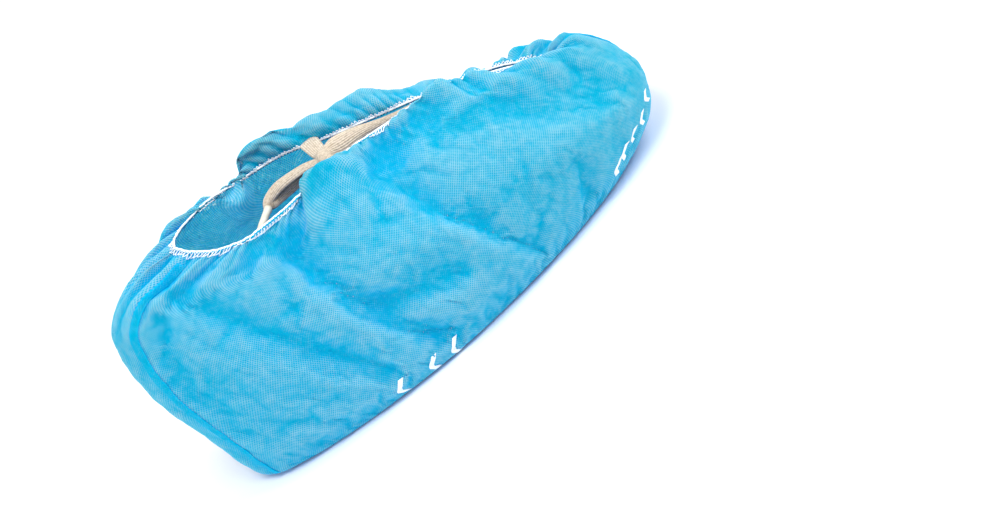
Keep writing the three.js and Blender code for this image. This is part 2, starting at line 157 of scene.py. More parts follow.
# Soft folds of each side, each by three points as shares of length and height, a depth and a width. Ridges
# have a negative depth.
folds = [
    dict(side="near", a=(0.315, 0.34, 0.41), h=(0.79, 0.5, 0.12), depth=1.0, width=1.0),
    dict(side="near", a=(0.29, 0.308, 0.39), h=(0.76, 0.5, 0.12), depth=-0.4, width=0.7),
    dict(side="near", a=(0.37, 0.43, 0.5), h=(0.4, 0.35, 0.3), depth=0.6, width=0.7),
    dict(side="near", a=(0.39, 0.45, 0.51), h=(0.27, 0.24, 0.21), depth=-0.3, width=0.9),
    dict(side="near", a=(0.13, 0.2, 0.305), h=(0.9, 0.6, 0.16), depth=0.6, width=0.8),
    dict(side="near", a=(0.08, 0.045, 0.07), h=(0.86, 0.62, 0.3), depth=0.5, width=0.7),
    dict(side="near", a=(0.29, 0.27, 0.25), h=(0.78, 0.7, 0.6), depth=0.45, width=0.6),
    dict(side="near", a=(0.57, 0.72, 0.88), h=(0.76, 0.65, 0.4), depth=0.95, width=1.0),
    dict(side="near", a=(0.6, 0.7, 0.8), h=(0.6, 0.5, 0.42), depth=-0.3, width=1.2),
    dict(side="near", a=(0.89, 0.93, 0.955), h=(0.48, 0.38, 0.28), depth=0.45, width=0.9),
    dict(side="near", a=(0.52, 0.56, 0.58), h=(0.74, 0.55, 0.4), depth=0.4, width=0.9),
    dict(side="far", a=(0.33, 0.31, 0.27), h=(0.85, 0.6, 0.25), depth=0.9, width=1.0),
    dict(side="far", a=(0.5, 0.5, 0.44), h=(0.8, 0.5, 0.2), depth=0.8, width=1.1),
    dict(side="far", a=(0.66, 0.73, 0.86), h=(0.66, 0.5, 0.3), depth=0.8, width=1.0),
    dict(side="far", a=(0.16, 0.11, 0.13), h=(0.9, 0.6, 0.3), depth=0.5, width=0.9),
]


def smooth_column(table, keys, column, at):
    values = np.array([row[column] for row in table], float)
    keys = np.array(keys, float)
    slopes = np.diff(values) / np.diff(keys)
    tangents = np.concatenate([slopes[:1], np.zeros(len(values) - 2), slopes[-1:]])
    before, after = slopes[:-1], slopes[1:]
    rising = before * after > 0
    tangents[1:-1][rising] = 2 * (before * after)[rising] / (before + after)[rising]
    cell = np.clip(np.searchsorted(keys, at, side="right") - 1, 0, len(keys) - 2)
    span = keys[cell + 1] - keys[cell]
    s = (at - keys[cell]) / span
    start = (1 + 2 * s) * (1 - s) ** 2 * values[cell] + s * (1 - s) ** 2 * span * tangents[cell]
    end = s * s * (3 - 2 * s) * values[cell + 1] + s * s * (s - 1) * span * tangents[cell + 1]
    return start + end


def bump(at, middle, reach):
    return np.exp(-(((at - middle) / reach) ** 2))


def smoothstep(at, low, high):
    s = np.clip((at - low) / (high - low), 0, 1)
    return s * s * (3 - 2 * s)


def bag_points(angle, level):
    angle, level = np.broadcast_arrays(angle, level)
    section = {
        key: smooth_column(sections, range(len(sections)), key, level) for key in sections[0] if key != "name"
    }
    turned = np.abs(np.sin(angle))
    along = (1 - np.cos(angle)) / 2
    near = np.sin(angle) > 0
    to_heel = np.maximum(0, 1 - 2 * along) ** 1.5
    to_toe = np.maximum(0, 2 * along - 1) ** 1.5
    foot_width = turned**0.8 * (1 - heel_narrowing * to_heel + section["flare"] * to_toe)
    opening_keys = [row["along"] for row in opening_outline]
    slit_width = smooth_column(opening_outline, opening_keys, "half", along) * opening_width / cover_width
    follow = section["follow"]
    half = cover_width / 2 * ((1 - follow) * section["width"] * foot_width + follow * slit_width)
    share = section["heel"] + (section["toe"] - section["heel"]) * along
    drop = np.where(
        near,
        smooth_column(opening_outline, opening_keys, "near", along),
        smooth_column(opening_outline, opening_keys, "far", along),
    )
    fall = (1 - follow) * (1 - along) + follow * drop
    blousing_keys = [row["along"] for row in blousing]
    lift = np.where(
        near,
        smooth_column(blousing, blousing_keys, "near", share),
        smooth_column(blousing, blousing_keys, "far", share),
    )
    lift = lift * bump(level, 2.9, 0.9)
    puff_keys = [row["along"] for row in puffs]
    puff = np.where(
        near,
        smooth_column(puffs, puff_keys, "near", share),
        smooth_column(puffs, puff_keys, "far", share),
    )
    lift = lift + puff * bump(level, 1.6, 0.7)
    height = section["front"] + (section["back"] - section["front"]) * fall + lift * turned
    across = np.where(near, -half, half)
    return np.stack([cover_length * (share - 0.5), across, sole_height + opening_height * height], -1)


def crease_distance(fold, points):
    bends = [np.array([(a - 0.5) * cover_length, h * opening_height]) for a, h in zip(fold["a"], fold["h"])]
    at = points[..., [0, 2]]
    nearest = None
    for start, end in zip(bends[:-1], bends[1:]):
        run = end - start
        share = np.clip(((at - start) @ run) / (run @ run), 0, 1)
        distance = np.linalg.norm(at - start - share[..., None] * run, axis=-1)
        nearest = distance if nearest is None else np.minimum(nearest, distance)
    return nearest


def grid_normals(grid):
    round_it = np.roll(grid, -1, 1) - np.roll(grid, 1, 1)
    down = np.empty_like(grid)
    down[1:-1] = grid[2:] - grid[:-2]
    down[0] = grid[1] - grid[0]
    down[-1] = grid[-1] - grid[-2]
    normals = np.cross(down, round_it)
    normals /= np.maximum(np.linalg.norm(normals, axis=-1, keepdims=True), 1e-12)
    normals[-1] = (0, 0, -1)
    return normals


# Columns are spaced evenly round the belly and rows evenly down the side
fine = np.linspace(0, math.pi, 2001)
belly = bag_points(fine, np.full_like(fine, 5.0))
belly_run = np.concatenate([[0], np.cumsum(np.linalg.norm(np.diff(belly, axis=0), axis=1))])
half_angles = np.interp(np.linspace(0, belly_run[-1], cloth_columns // 2 + 1), belly_run, fine)
angles = np.concatenate([half_angles, 2 * math.pi - half_angles[-2:0:-1]])
fine_levels = np.linspace(0, len(sections) - 1, 2001)
side = bag_points(np.full_like(fine_levels, math.pi / 2), fine_levels)
side_run = np.concatenate([[0], np.cumsum(np.linalg.norm(np.diff(side, axis=0), axis=1))])
cloth_rows = round(side_run[-1] / grid_step)
levels = np.interp(np.arange(cloth_rows + 1) / cloth_rows * side_run[-1], side_run, fine_levels)
angle_grid, level_grid = np.meshgrid(angles, levels)
cloth_round = np.interp(np.minimum(angle_grid, 2 * math.pi - angle_grid), fine, belly_run)
cloth_down = np.interp(level_grid, fine_levels, side_run)

smooth_grid = bag_points(angle_grid, level_grid)
near_side = np.sin(angle_grid) > 0
wave = np.cos(gather_count * angle_grid + 0.9 * np.sin(3 * angle_grid) + 0.6 * np.sin(5 * angle_grid))
relief = gather_depth * wave * bump(level_grid, 2.3, 1.1)
clear_of_ends = smoothstep(smooth_grid[..., 2], sole_height, sole_fade) * smoothstep(level_grid, 0, 2)
for fold in folds:
    on_side = near_side if fold["side"] == "near" else ~near_side
    dent = bump(crease_distance(fold, smooth_grid), 0, fold_width * fold["width"])
    relief -= fold_depth * fold["depth"] * dent * clear_of_ends * on_side

# Sharp creases of the near side, given as the soft folds are
sharp_creases = [
    dict(a=(0.527, 0.538, 0.552, 0.59, 0.631), h=(0.668, 0.567, 0.474, 0.293, 0.122), depth=0.55, width=0.4),
    dict(a=(0.505, 0.515, 0.53, 0.57, 0.61), h=(0.66, 0.55, 0.46, 0.28, 0.12), depth=-0.3, width=0.5),
    dict(a=(0.701, 0.678), h=(0.478, 0.364), depth=0.4, width=0.25),
    dict(a=(0.715, 0.69), h=(0.47, 0.36), depth=-0.25, width=0.3),
    dict(a=(0.771, 0.757), h=(0.254, 0.108), depth=0.3, width=0.3),
    dict(a=(0.668, 0.598), h=(0.417, 0.376), depth=0.25, width=0.25),
    dict(a=(0.403, 0.484, 0.566), h=(0.256, 0.251, 0.222), depth=-0.3, width=0.9),
    dict(a=(0.307, 0.308, 0.326, 0.374, 0.43), h=(0.775, 0.614, 0.415, 0.236, 0.068), depth=0.5, width=0.4),
    dict(a=(0.126, 0.182, 0.243, 0.307), h=(0.879, 0.652, 0.391, 0.175), depth=0.35, width=0.4),
    dict(a=(0.135, 0.222, 0.299), h=(0.498, 0.279, 0.1), depth=-0.25, width=0.9),
    dict(a=(0.247, 0.192), h=(0.81, 0.763), depth=0.4, width=0.3),
    dict(a=(0.325, 0.263, 0.223), h=(0.667, 0.603, 0.605), depth=0.35, width=0.3),
    dict(a=(0.351, 0.344), h=(0.802, 0.707), depth=0.4, width=0.25),
    dict(a=(0.391, 0.363), h=(0.765, 0.722), depth=0.4, width=0.25),
    dict(a=(0.882, 0.919, 0.934), h=(0.535, 0.392, 0.27), depth=0.3, width=0.4),
]
for crease in sharp_creases:
    rounded = np.hypot(crease_distance(crease, smooth_grid), crease_radius)
    dent = np.exp(-rounded / (fold_width * crease["width"]))
    relief -= fold_depth * crease["depth"] * dent * clear_of_ends * near_side

# Small random creases all over, closest together where the near side has been crushed
random = np.random.default_rng(5)
for count, low, high, on_side, depth in (
    (46, (0.33, 0.4), (0.56, 0.82), near_side, 0.2),
    (40, (0.05, 0.1), (0.95, 0.8), near_side, 0.13),
    (50, (0.05, 0.1), (0.95, 0.85), ~near_side, 0.14),
):
    for _ in range(count):
        a, h = random.uniform(low[0], high[0]), random.uniform(low[1], high[1])
        way, long = random.uniform(0, math.pi), random.uniform(0.008, 0.028)
        bend = way + random.uniform(-0.5, 0.5)
        step = np.array([math.cos(way) / cover_length, math.sin(way) / opening_height]) * long
        more = np.array([math.cos(bend) / cover_length, math.sin(bend) / opening_height]) * long
        crease = dict(a=(a, a + step[0], a + step[0] + more[0]), h=(h, h + step[1], h + step[1] + more[1]))
        rounded = np.hypot(crease_distance(crease, smooth_grid), crease_radius)
        dent = np.exp(-rounded / (fold_width * random.uniform(0.16, 0.4)))
        own = depth * random.uniform(0.4, 1.0) * random.choice([1, 1, -0.8])
        relief -= fold_depth * own * dent * clear_of_ends * on_side

# Narrow pleats run down from the hem; each has its own length and depth
pleat_count = 80
pleat_depth = 0.0014
pleat_phase = pleat_count / 2 * angle_grid + 2.2 * np.sin(7 * angle_grid) + 1.4 * np.sin(11 * angle_grid + 1)
pleat_own = 0.6 + 0.4 * np.sin(13 * angle_grid + 2) * np.sin(5 * angle_grid)
pleats = 2 * np.abs(np.sin(pleat_phase)) - 1.2
pleat_fade = smoothstep(level_grid, 0.1, 0.9) * (1 - smoothstep(level_grid, 1.4, 2.2 + 1.4 * pleat_own))
relief += pleat_depth * pleats * pleat_fade * pleat_own

# Sharp small creases as in cloth that was folded flat in a pack
crumple = np.zeros_like(relief)
for size, depth, seed in ((0.036, 0.0016, 3.1), (0.017, 0.0013, 7.7), (0.009, 0.0008, 11.3)):
    for i in range(cloth_rows + 1):
        for j in range(cloth_columns):
            at = Vector(smooth_grid[i, j]) / size + Vector((seed, 0, 0))
            distances = noise.voronoi(at)[0]
            crumple[i, j] += depth * (min(distances[1] - distances[0], 0.5) - 0.25)
relief += crumple * smoothstep(smooth_grid[..., 2], 0.002, 0.02) * smoothstep(level_grid, 0.3, 1.6)

outer_grid = smooth_grid + grid_normals(smooth_grid) * relief[..., None]

# The cloth is longer than the shape it stands in, most of all round the hem. So it is let go between the
# hem and the sole, which stay held, until it has buckled into creases. It is settled at ten times its size.
settle_scale = 10
settle_frames = 14
settle_hold = 0.02
settle_mass = 0.3
stretch_stiffness = 20
shear_stiffness = 8
bending_stiffness = 0.1
spare_cloth = 0.035
spare_at_hem = 0.16
most_moved = 0.006
settling_mesh = bpy.data.meshes.new("settling")
settling_faces = []
for i in range(cloth_rows):
    top, low = i * cloth_columns, (i + 1) * cloth_columns
    for j in range(cloth_columns):
        k = (j + 1) % cloth_columns
        settling_faces.append((top + j, low + j, low + k, top + k))
settling_points = [tuple(p) for p in outer_grid.reshape(-1, 3) * settle_scale]
settling_mesh.from_pydata(settling_points, [], settling_faces)
settling = bpy.data.objects.new("settling", settling_mesh)
bpy.context.scene.collection.objects.link(settling)
held = settling.vertex_groups.new(name="held")
spare = settling.vertex_groups.new(name="spare")
for i in range(cloth_rows + 1):
    row_points = list(range(i * cloth_columns, (i + 1) * cloth_columns))
    at_end = levels[i] < 0.12 or outer_grid[i, cloth_columns // 4, 2] < 0.002
    held.add(row_points, 1.0 if at_end else settle_hold, "REPLACE")
    spare.add(row_points, float(1 - smoothstep(levels[i], 1.0, 4.5)), "REPLACE")
cloth_sim = settling.modifiers.new("Cloth", "CLOTH")
cloth_sim.settings.quality = 5
cloth_sim.settings.mass = settle_mass
cloth_sim.settings.tension_stiffness = stretch_stiffness
cloth_sim.settings.compression_stiffness = stretch_stiffness
cloth_sim.settings.shear_stiffness = shear_stiffness
cloth_sim.settings.bending_stiffness = bending_stiffness
cloth_sim.settings.vertex_group_mass = "held"
cloth_sim.settings.pin_stiffness = 1.0
cloth_sim.settings.vertex_group_shrink = "spare"
cloth_sim.settings.shrink_min = -spare_cloth
cloth_sim.settings.shrink_max = -spare_at_hem
cloth_sim.settings.effector_weights.gravity = 0
cloth_sim.point_cache.frame_start = 1
cloth_sim.point_cache.frame_end = settle_frames
for frame_number in range(1, settle_frames + 1):
    bpy.context.scene.frame_set(frame_number)
settled = settling.evaluated_get(bpy.context.evaluated_depsgraph_get()).data
settled_points = np.empty(len(settled.vertices) * 3)
settled.vertices.foreach_get("co", settled_points)
moved = settled_points.reshape(outer_grid.shape) / settle_scale - outer_grid
moved_length = np.linalg.norm(moved, axis=-1, keepdims=True)
outer_grid = outer_grid + moved * np.minimum(1, most_moved / np.maximum(moved_length, 1e-9))
outer_grid[..., 2] = np.maximum(outer_grid[..., 2], sole_height)
bpy.data.objects.remove(settling)
bpy.data.meshes.remove(settling_mesh)
bpy.context.scene.frame_set(1)
outer_normals = grid_normals(outer_grid)

# Where the cloth stands out in a ridge its colour is made paler, a painted highlight, and in a hollow it is
# kept a deep blue, painted shade
fine_evening = 4
broad_evening = 90
stands_out = ((outer_grid - smooth_grid) * grid_normals(smooth_grid)).sum(-1)
evened = stands_out
for step in range(broad_evening):
    up_down = np.concatenate([evened[:1], evened, evened[-1:]])
    evened = (np.roll(evened, 1, 1) + np.roll(evened, -1, 1) + up_down[2:] + up_down[:-2]) / 4
    if step == fine_evening - 1:
        fine_ridge = stands_out - evened
broad_ridge = stands_out - evened
ridge_painted_light = np.clip(0.5 + fine_ridge / 0.0016 + broad_ridge / 0.012, 0, 1)
inner_grid = outer_grid - outer_normals * cloth_thickness


def add_mesh(name, points, faces, material, uvs=None, pale=None):
    mesh = bpy.data.meshes.new(name)
    mesh.from_pydata([tuple(p) for p in points], [], faces)
    if uvs is not None:
        layer = mesh.uv_layers.new(name="cloth")
        loop_points = np.empty(len(mesh.loops), int)
        mesh.loops.foreach_get("vertex_index", loop_points)
        layer.data.foreach_set("uv", np.asarray(uvs, float)[loop_points].ravel())
    # The pale values are painted light: a painted highlight on ridges and painted shade in hollows
    if pale is not None:
        layer = mesh.attributes.new("pale", "FLOAT", "POINT")
        layer.data.foreach_set("value", np.asarray(pale, float).ravel())
    welded = bmesh.new()
    welded.from_mesh(mesh)
    bmesh.ops.remove_doubles(welded, verts=welded.verts, dist=1e-6)
    welded.to_mesh(mesh)
    welded.free()
    mesh.materials.append(material)
    mesh.polygons.foreach_set("use_smooth", [True] * len(mesh.polygons))
    mesh.update()
    piece = bpy.data.objects.new(name, mesh)
    bpy.context.scene.collection.objects.link(piece)
    return piece


def add_node(material, kind, **settings):
    node = material.node_tree.nodes.new(kind)
    for key, value in settings.items():
        if key in node.inputs:
            node.inputs[key].default_value = value
        else:
            setattr(node, key, value)
    return node


def new_material(name):
    material = bpy.data.materials.new(name)
    material.use_nodes = True
    return material, material.node_tree.nodes["Principled BSDF"]


def math_node(material, operation, first, second=None):
    node = material.node_tree.nodes.new("ShaderNodeMath")
    node.operation = operation
    for slot, value in enumerate((first, second)):
        if value is None:
            continue
        if isinstance(value, (int, float)):
            node.inputs[slot].default_value = value
        else:
            material.node_tree.links.new(value, node.inputs[slot])
    return node.outputs[0]


def add_colours(material, shader, shade, *stops):
    colours = add_node(material, "ShaderNodeValToRGB")
    for element, (position, colour) in zip(colours.color_ramp.elements, stops):
        element.position = position
        element.color = (*colour, 1)
    material.node_tree.links.new(shade, colours.inputs["Fac"])
    material.node_tree.links.new(colours.outputs["Color"], shader.inputs["Base Color"])


blue_cloth, cloth_shader = new_material("blue_cloth")
link = blue_cloth.node_tree.links.new
uv = add_node(blue_cloth, "ShaderNodeUVMap", uv_map="cloth")
apart = add_node(blue_cloth, "ShaderNodeSeparateXYZ")
link(uv.outputs[0], apart.inputs[0])
dot_pitch = 0.00115
slant_turns = 2 * math.pi / dot_pitch / 1.414
slant_one = math_node(blue_cloth, "ADD", apart.outputs[0], apart.outputs[1])
slant_two = math_node(blue_cloth, "SUBTRACT", apart.outputs[0], apart.outputs[1])
dots = None
for slant in (slant_one, slant_two):
    ripple = math_node(blue_cloth, "COSINE", math_node(blue_cloth, "MULTIPLY", slant, slant_turns))
    raised = math_node(blue_cloth, "MULTIPLY", math_node(blue_cloth, "ADD", ripple, 1.0), 0.5)
    dots = raised if dots is None else math_node(blue_cloth, "MULTIPLY", dots, raised)
place = add_node(blue_cloth, "ShaderNodeTexCoord")
webs = add_node(blue_cloth, "ShaderNodeTexNoise", Scale=210.0, Detail=8.0, Roughness=0.75)
link(place.outputs["Object"], webs.inputs["Vector"])
fibres = add_node(blue_cloth, "ShaderNodeTexNoise", Scale=1400.0, Detail=3.0)
link(place.outputs["Object"], fibres.inputs["Vector"])
# The pale attribute holds painted light: painted highlight on ridges, painted shade in hollows, and a paler
# painted inside
painted_light_attribute = add_node(blue_cloth, "ShaderNodeAttribute", attribute_name="pale")
dot_shade = math_node(blue_cloth, "MULTIPLY", dots, 1.6)
web_shade = math_node(blue_cloth, "MULTIPLY", webs.outputs["Fac"], 1.3)
painted_light_shade = math_node(blue_cloth, "MULTIPLY", painted_light_attribute.outputs["Fac"], -0.7)
shade = math_node(blue_cloth, "ADD", math_node(blue_cloth, "ADD", dot_shade, web_shade), painted_light_shade)
shade = math_node(blue_cloth, "ADD", shade, 0.16)
add_colours(blue_cloth, cloth_shader, shade, (0.08, (0.23, 0.59, 1.0)), (0.9, (0.0, 0.41, 0.92)))
fibre_height = math_node(blue_cloth, "MULTIPLY", fibres.outputs["Fac"], 0.5)
cloth_height = math_node(blue_cloth, "SUBTRACT", fibre_height, dots)
cloth_bump = add_node(blue_cloth, "ShaderNodeBump", Strength=0.9, Distance=0.00025)
link(cloth_height, cloth_bump.inputs["Height"])
link(cloth_bump.outputs["Normal"], cloth_shader.inputs["Normal"])
cloth_shader.inputs["Roughness"].default_value = 0.45
cloth_shader.inputs["Subsurface Weight"].default_value = 0.7
cloth_shader.inputs["Subsurface Radius"].default_value = (0.4, 0.8, 1.3)
cloth_shader.inputs["Subsurface Scale"].default_value = 0.006
cloth_shader.inputs["Specular IOR Level"].default_value = 0.03

cloth_points = np.concatenate([outer_grid.reshape(-1, 3), inner_grid.reshape(-1, 3)])
cloth_uvs = np.stack([cloth_round, cloth_down], -1).reshape(-1, 2)
cloth_uvs = np.concatenate([cloth_uvs, cloth_uvs])
inner_start = (cloth_rows + 1) * cloth_columns
cloth_faces = []
for j in range(cloth_columns):
    k = (j + 1) % cloth_columns
    cloth_faces.append((inner_start + j, j, k, inner_start + k))
    for i in range(cloth_rows):
        top, low = i * cloth_columns, (i + 1) * cloth_columns
        outer_face = (top + j, low + j, low + k, top + k)
        cloth_faces.append(outer_face)
        cloth_faces.append(tuple(inner_start + corner for corner in reversed(outer_face)))
# The inner skin takes the same values turned round and halved, so it is painted paler than the outside, most
# behind the outer hollows: painted light for light that comes through the cloth
cloth_painted_light = np.concatenate([ridge_painted_light.ravel(), 1 - 0.5 * ridge_painted_light.ravel()])
cloth_bag = add_mesh("cloth_bag_cloth", cloth_points, cloth_faces, blue_cloth, cloth_uvs, cloth_painted_light)
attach(cloth_bag, "root")
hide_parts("cloth_bag")


# Hem. The edge of the cloth is folded over a thin elastic thread and overcast all round with white thread.
# The thread leaves a chain along the edge and a narrow lace of loops outside it.
hem_height = 0.0013
hem_thickness = 0.0014
hem_gap = 0.0002
stitch_pitch = 0.0042
stitch_drop = 0.0034
thread_radius = 0.00026
chain_radius = 0.00065

hem_middle = (outer_grid[0] + inner_grid[0]) / 2
hem_run = np.roll(hem_middle, -1, 0) - np.roll(hem_middle, 1, 0)
hem_run /= np.linalg.norm(hem_run, axis=1, keepdims=True)
hem_rise = np.array([0, 0, 1]) - hem_run * hem_run[:, 2:]
hem_rise /= np.linalg.norm(hem_rise, axis=1, keepdims=True)
hem_out = np.cross(hem_run, hem_rise)
hem_steps = np.linalg.norm(np.roll(hem_middle, -1, 0) - hem_middle, axis=1)
hem_length = np.concatenate([[0], np.cumsum(hem_steps)])


def on_cloth(column, row, height=0.0):
    column = column % cloth_columns
    j, i = int(column), min(int(row), cloth_rows - 1)
    k, s, r = (j + 1) % cloth_columns, column - int(column), row - i
    point = (1 - r) * ((1 - s) * outer_grid[i, j] + s * outer_grid[i, k])
    point = point + r * ((1 - s) * outer_grid[i + 1, j] + s * outer_grid[i + 1, k])
    normal = (1 - s) * outer_normals[i, j] + s * outer_normals[i, k]
    return point + normal * height


def along_hem(values, at):
    closed = np.concatenate([values, values[:1]])
    at = np.asarray(at) % hem_length[-1]
    return np.stack([np.interp(at, hem_length, closed[:, axis]) for axis in range(3)], -1)


def ring_faces(rings, sides, closed):
    faces = []
    for i in range(rings if closed else rings - 1):
        here, there = i * sides, (i + 1) % rings * sides
        for s in range(sides):
            t = (s + 1) % sides
            faces.append((here + s, here + t, there + t, there + s))
    if not closed:
        faces.append(tuple(reversed(range(sides))))
        faces.append(tuple(range((rings - 1) * sides, rings * sides)))
    return faces


def add_tubes(name, paths, radius, sides, material, closed):
    points, faces = [], []
    for path in paths:
        start = len(points)
        count = len(path)
        if closed:
            run = np.roll(path, -1, 0) - np.roll(path, 1, 0)
        else:
            run = np.gradient(path, axis=0)
        run /= np.maximum(np.linalg.norm(run, axis=1, keepdims=True), 1e-9)
        side_way = np.cross(run, (0.31, 0.22, 0.92))
        side_way /= np.linalg.norm(side_way, axis=1, keepdims=True)
        up_way = np.cross(run, side_way)
        for i in range(count):
            for s in range(sides):
                a = 2 * math.pi * s / sides
                points.append(path[i] + radius * (math.cos(a) * side_way[i] + math.sin(a) * up_way[i]))
        faces += [tuple(start + f for f in face) for face in ring_faces(count, sides, closed)]
    return add_mesh(name, points, faces, material)


hem_station_step = 0.00055
hem_stations = np.arange(0, hem_length[-1], hem_station_step)
hem_sides = 12
hem_points = []
for at in hem_stations:
    middle, rise, out = along_hem(hem_middle, at), along_hem(hem_rise, at), along_hem(hem_out, at)
    puckered = 1 + 0.09 * math.sin(2 * math.pi * at / stitch_pitch)
    for s in range(hem_sides):
        a = 2 * math.pi * s / hem_sides
        squared = [math.copysign(abs(value) ** 0.7, value) for value in (math.cos(a), math.sin(a))]
        wide = squared[0] * hem_thickness / 2 * puckered
        high = hem_gap + hem_height / 2 + squared[1] * hem_height / 2
        hem_points.append(middle + out * wide + rise * high)
hem_edge = add_mesh("hem_edge", hem_points, ring_faces(len(hem_stations), hem_sides, True), blue_cloth)
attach(hem_edge, "root")
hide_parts("hem_elastic")

# The lace: two threads that zigzag between the top of the edge and the cloth below it, half a stitch apart.
# A turn of a stitch is a share of its pitch and of its drop, and no drop is the top of the edge.
stitch_turns = (
    (0.0, 1.0), (0.12, 0.85), (0.27, 0.25), (0.42, None), (0.58, None), (0.73, 0.25), (0.88, 0.85),
)
lace_height = 0.0006
lace_rows = 12
down_run = np.cumsum(np.linalg.norm(np.diff(outer_grid[:lace_rows], axis=0), axis=-1), axis=0)
down_run = np.concatenate([np.zeros((1, cloth_columns)), down_run])
stitch_count = round(hem_length[-1] / stitch_pitch)
lace_paths = []
for shift in (0, 0.5):
    path = []
    for k in range(stitch_count):
        ragged = 1 + 0.3 * math.sin(k * 2.4 + 5 * shift) * math.sin(k * 0.37)
        for share, drop in stitch_turns:
            at = (k + share + shift) * hem_length[-1] / stitch_count % hem_length[-1]
            if drop is None:
                middle, rise, out = along_hem(hem_middle, at), along_hem(hem_rise, at), along_hem(hem_out, at)
                path.append(middle + rise * (hem_gap + hem_height) + out * hem_thickness * 0.25)
            else:
                column = np.interp(at, hem_length, range(cloth_columns + 1))
                down = down_run[:, int(column) % cloth_columns]
                row_at = np.interp(drop * ragged * stitch_drop, down, range(lace_rows))
                path.append(on_cloth(column, row_at, lace_height))
    lace_paths.append(np.array(path))

# The chain: the same thread drawn tight along the inner edge
chain_sway = 0.00015
chain_path = []
for at in np.arange(0, hem_length[-1], stitch_pitch / 4):
    middle, rise, out = along_hem(hem_middle, at), along_hem(hem_rise, at), along_hem(hem_out, at)
    sway = chain_sway * math.sin(2 * math.pi * at / stitch_pitch)
    chain_path.append(middle + rise * (hem_gap + hem_height * 0.9) - out * (hem_thickness * 0.3 + sway))


def speckled_material(name, scale, detail, roughness, *stops):
    material, shader = new_material(name)
    place = add_node(material, "ShaderNodeTexCoord")
    speckle = add_node(material, "ShaderNodeTexNoise", Scale=scale, Detail=detail)
    material.node_tree.links.new(place.outputs["Object"], speckle.inputs["Vector"])
    add_colours(material, shader, speckle.outputs["Fac"], *stops)
    shader.inputs["Roughness"].default_value = roughness
    return material


white_thread = speckled_material(
    "white_thread", 2500.0, 2.0, 0.6, (0.0, (0.8, 0.92, 0.98)), (1.0, (1.0, 1.0, 1.0))
)
hem_stitches = add_tubes("hem_stitches", lace_paths, thread_radius, 6, white_thread, True)
hem_chain = add_tubes("hem_chain", [np.array(chain_path)], chain_radius, 8, white_thread, True)
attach(hem_chain, "root")
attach(hem_stitches, "root")


# Seams. The bag's two ends are each closed by a narrow folded seam of the same cloth. It is sewn through
# and lies flat to one side, and gets narrower towards the sole.
seam_rise = 0.0009
seam_lift = 0.00012
seam_row_step = 0.5
seam_column_width = 0.0022
seam_uv_start = 0.4
seam_top_level = 1.6
seam_low_level = 7.2
angle_steps = 96
seam_profile = (
    (0.0, 0.1), (0.02, 0.8), (0.1, 1.0), (0.3, 0.95), (0.6, 0.9), (0.88, 0.95), (0.97, 0.75), (1.0, 0.1),
)


def add_seam(name, from_step, to_step, narrow, replaced):
    at_angles = [2 * math.pi * step / angle_steps for step in (from_step, to_step)]
    from_column, to_column = np.interp(at_angles, angles, range(cloth_columns))
    top_row, low_row = np.interp((seam_top_level, seam_low_level), levels, range(cloth_rows + 1))
    rows = np.arange(top_row, low_row, seam_row_step)
    outline = seam_profile + tuple((across, 0.0) for across, high in reversed(seam_profile[1:-1]))
    points, uvs = [], []
    for i, row in enumerate(rows):
        wide = 1 - (1 - narrow) * i / (len(rows) - 1)
        for across, high in outline:
            column = from_column + (to_column - from_column) * (0.5 + (across - 0.5) * wide)
            points.append(on_cloth(column, row, seam_lift + seam_rise * high))
            uvs.append((column * seam_column_width + seam_uv_start, row * grid_step))
    piece = add_mesh(name, points, ring_faces(len(rows), len(outline), False), blue_cloth, uvs)
    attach(piece, "root")
    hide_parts(replaced)


add_seam("heel_seam_fold", 3.8, 5.2, 0.5, "heel_seam")
add_seam("toe_seam_fold", 48.0, 49.0, 0.6, "toe_seam")


# Tape. A flat woven cotton tape with fine ribs along it, knotted across the opening. One tail runs forward,
# rolled up, under the cloth. The other hangs back in a loop and ends in a pale tube.
tape_width = 0.012
tape_thickness = 0.0012
rib_count = 9
rib_depth = 0.00026
twill_pitch = 0.0009

cotton_tape, tape_shader = new_material("cotton_tape")
tape_link = cotton_tape.node_tree.links.new
tape_uv = add_node(cotton_tape, "ShaderNodeUVMap", uv_map="cloth")
tape_apart = add_node(cotton_tape, "ShaderNodeSeparateXYZ")
tape_link(tape_uv.outputs[0], tape_apart.inputs[0])
# Colour: the grooves between the ribs are darkened, partly the weave's own pattern and partly painted shade,
# and the twill and speckle vary the cotton's own tone
rib_turn = math_node(cotton_tape, "MULTIPLY", tape_apart.outputs[0], 2 * math.pi * rib_count / tape_width)
rib_shade = math_node(cotton_tape, "MULTIPLY", math_node(cotton_tape, "COSINE", rib_turn), 0.25)
twill_across = math_node(cotton_tape, "MULTIPLY", tape_apart.outputs[0], 1.2)
twill_run = math_node(cotton_tape, "ADD", twill_across, tape_apart.outputs[1])
twill_turn = math_node(cotton_tape, "MULTIPLY", twill_run, 2 * math.pi / twill_pitch)
twill_shade = math_node(cotton_tape, "MULTIPLY", math_node(cotton_tape, "SINE", twill_turn), 0.2)
weave = math_node(cotton_tape, "MULTIPLY", math_node(cotton_tape, "ADD", rib_shade, twill_shade), 0.5)
tape_object = add_node(cotton_tape, "ShaderNodeTexCoord")
tape_noise = add_node(cotton_tape, "ShaderNodeTexNoise", Scale=700.0, Detail=4.0)
tape_link(tape_object.outputs["Object"], tape_noise.inputs["Vector"])
tape_shade = math_node(cotton_tape, "ADD", weave, tape_noise.outputs["Fac"])
add_colours(cotton_tape, tape_shader, tape_shade, (0.2, (0.4, 0.32, 0.23)), (0.7, (0.76, 0.67, 0.55)))
tape_bump = add_node(cotton_tape, "ShaderNodeBump", Strength=0.7, Distance=0.0002)
tape_link(tape_shade, tape_bump.inputs["Height"])
